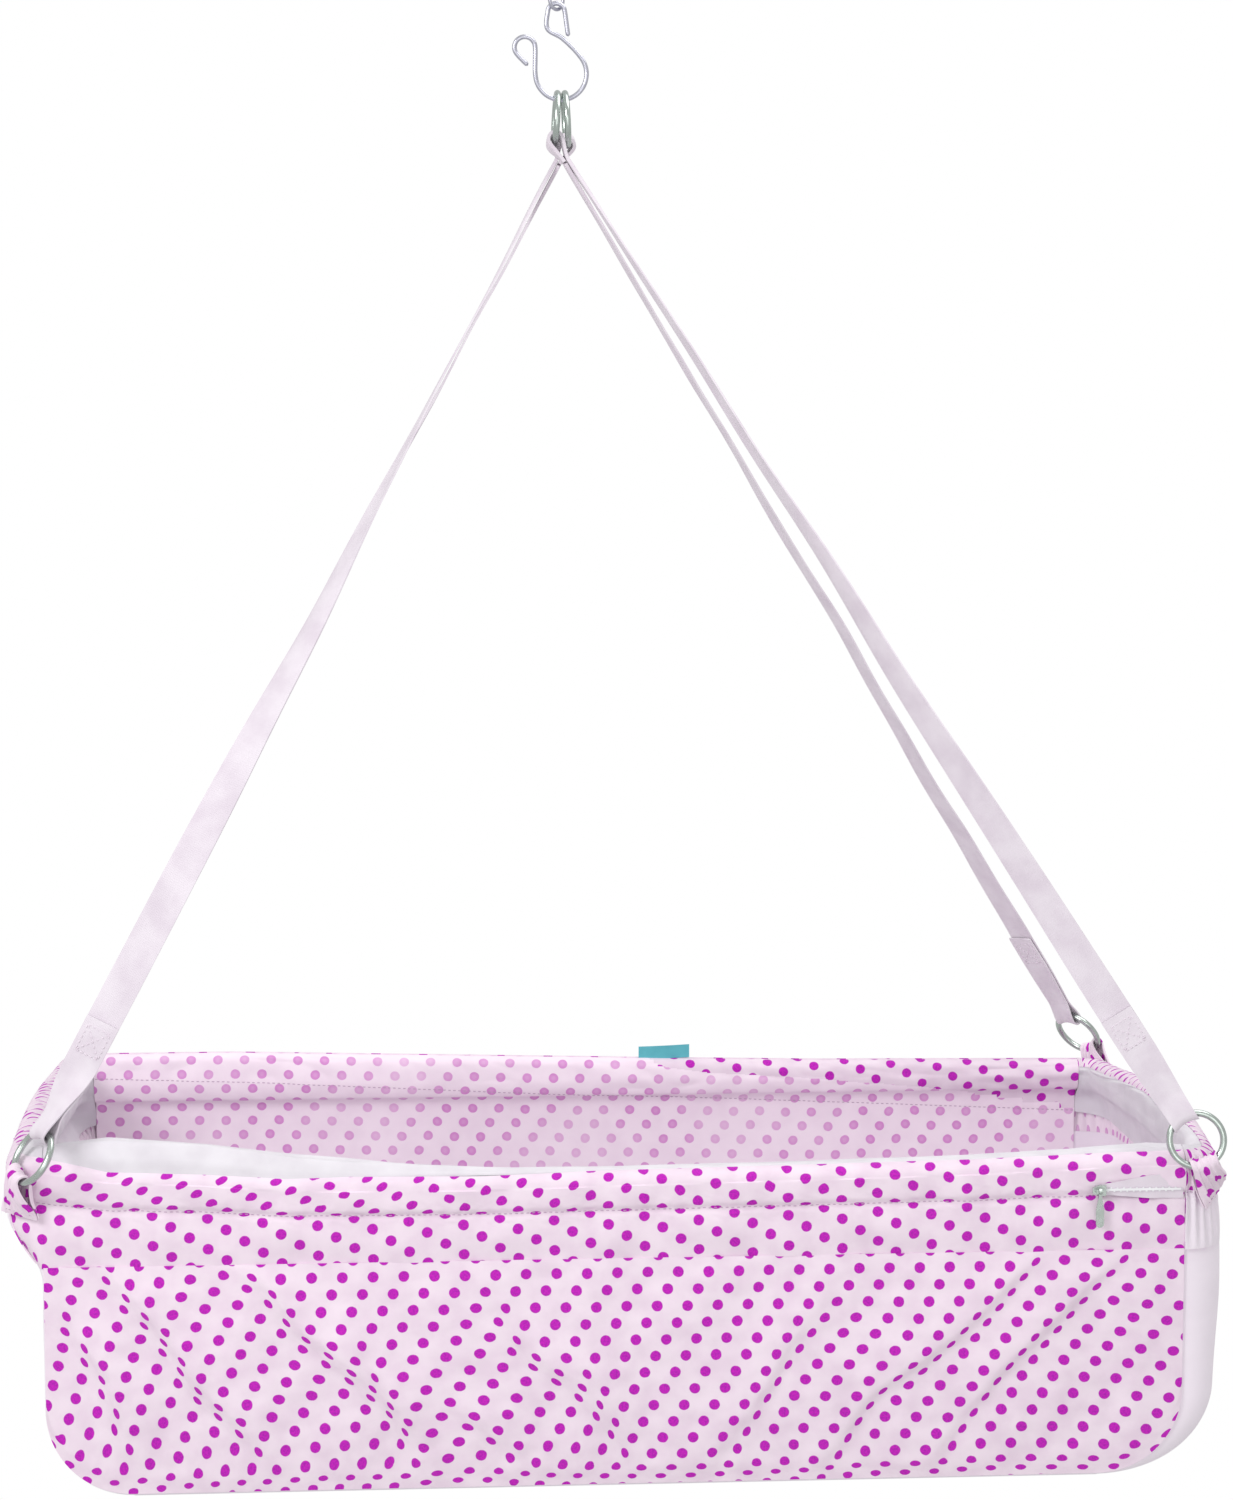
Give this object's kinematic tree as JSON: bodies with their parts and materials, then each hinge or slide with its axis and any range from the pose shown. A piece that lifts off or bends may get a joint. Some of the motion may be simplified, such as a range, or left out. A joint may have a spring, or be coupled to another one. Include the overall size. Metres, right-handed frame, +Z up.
{
  "type": "hanging baby cradle",
  "caption": "Fabric baby basket with a padded floor, slung by webbing straps from rings and an S-hook so that it swings.",
  "frame": {"origin": "the hanging point, at the top of the hanger link's window, where the link bears on what holds it up", "axes": "+X along the basket to the right as seen from the front, -Y to the front, +Z up"},
  "size_m": [0.901, 0.4466, 1.1202],
  "materials": {
    "steel": "bright drawn wire",
    "ring_metal": "plated, faintly green",
    "webbing": "woven, pale lilac white",
    "dotted_cloth": "pinkish white cloth with magenta polka dots",
    "white_lining": "plain white cotton",
    "plain_cloth": "plain pale cloth",
    "tube_metal": "grey coating",
    "elbow_plastic": "moulded",
    "board": "hardboard",
    "zip_plastic": "white tape and moulded teeth",
    "teal_cloth": "woven, bare"
  },
  "bodies": {
    "hanger": {"hanger_link": "steel"},
    "hook": {"s_hook": "steel"},
    "cradle": {"apex_ring_left": "ring_metal", "strap_eye_left": "webbing", "apex_ring_right": "ring_metal", "strap_eye_right": "webbing", "strap_front_left": "webbing", "corner_tab_front_left": "dotted_cloth", "strap_front_right": "webbing", "corner_tab_front_right": "dotted_cloth", "strap_rear_left": "webbing", "corner_tab_rear_left": "dotted_cloth", "strap_rear_right": "webbing", "corner_tab_rear_right": "dotted_cloth", "front_band": "dotted_cloth", "front_facing": "white_lining", "front_rail": "tube_metal", "front_panel": "dotted_cloth", "rear_band": "dotted_cloth", "rear_facing": "dotted_cloth", "rear_rail": "tube_metal", "rear_panel": "dotted_cloth", "left_band": "dotted_cloth", "left_facing": "white_lining", "left_bow": "tube_metal", "left_gusset": "plain_cloth", "right_band": "dotted_cloth", "right_facing": "white_lining", "right_bow": "tube_metal", "right_gusset": "plain_cloth", "rail_elbow_front_left": "elbow_plastic", "rail_elbow_front_right": "elbow_plastic", "rail_elbow_rear_left": "elbow_plastic", "rail_elbow_rear_right": "elbow_plastic", "base_gusset": "plain_cloth", "base_board": "board", "zip_tape": "zip_plastic", "zip_teeth": "zip_plastic", "label_tab": "teal_cloth"},
    "front_left_ring": {"corner_ring_front_left": "ring_metal"},
    "front_right_ring": {"corner_ring_front_right": "ring_metal"},
    "rear_left_ring": {"corner_ring_rear_left": "ring_metal"},
    "rear_right_ring": {"corner_ring_rear_right": "ring_metal"},
    "mattress": {"mattress": "white_lining"},
    "zip_slider": {"zip_slider": "ring_metal"},
    "zip_pull": {"zip_pull": "ring_metal"}
  },
  "joints": [
    {"name": "hook_swing", "type": "hinge", "parent": "hanger", "child": "hook", "pos_m": [0, 0, -0.0264], "axis": [0, 1, 0], "range_deg": [-25, 25]},
    {"name": "cradle_swing", "type": "hinge", "parent": "hook", "child": "cradle", "pos_m": [0.0034, 0, -0.0938], "axis": [1, 0, 0], "range_deg": [-30, 30]},
    {"name": "front_left_ring_turn", "type": "hinge", "parent": "cradle", "child": "front_left_ring", "pos_m": [-0.385, -0.204, -0.8595], "axis": [0.6856, 0.5131, -0.5165], "continuous": true},
    {"name": "front_right_ring_turn", "type": "hinge", "parent": "cradle", "child": "front_right_ring", "pos_m": [0.457, -0.204, -0.8595], "axis": [0.1934, 0.9702, -0.1456], "continuous": true},
    {"name": "rear_left_ring_turn", "type": "hinge", "parent": "cradle", "child": "rear_left_ring", "pos_m": [-0.385, 0.204, -0.8595], "axis": [0.7063, -0.486, -0.5148], "continuous": true},
    {"name": "rear_right_ring_turn", "type": "hinge", "parent": "cradle", "child": "rear_right_ring", "pos_m": [0.457, 0.204, -0.8595], "axis": [0.6402, 0.5286, 0.5574], "continuous": true},
    {"name": "mattress_lift", "type": "slide", "parent": "cradle", "child": "mattress", "axis": [0, 0, 1], "range_m": [0, 0.15]},
    {"name": "zip_run", "type": "slide", "parent": "cradle", "child": "zip_slider", "axis": [1, 0, 0], "range_m": [0, 0.055]},
    {"name": "zip_pull_swing", "type": "hinge", "parent": "zip_slider", "child": "zip_pull", "pos_m": [0.387, -0.2017, -0.8975], "axis": [1, 0, 0], "range_deg": [-170, 0]}
  ]
}
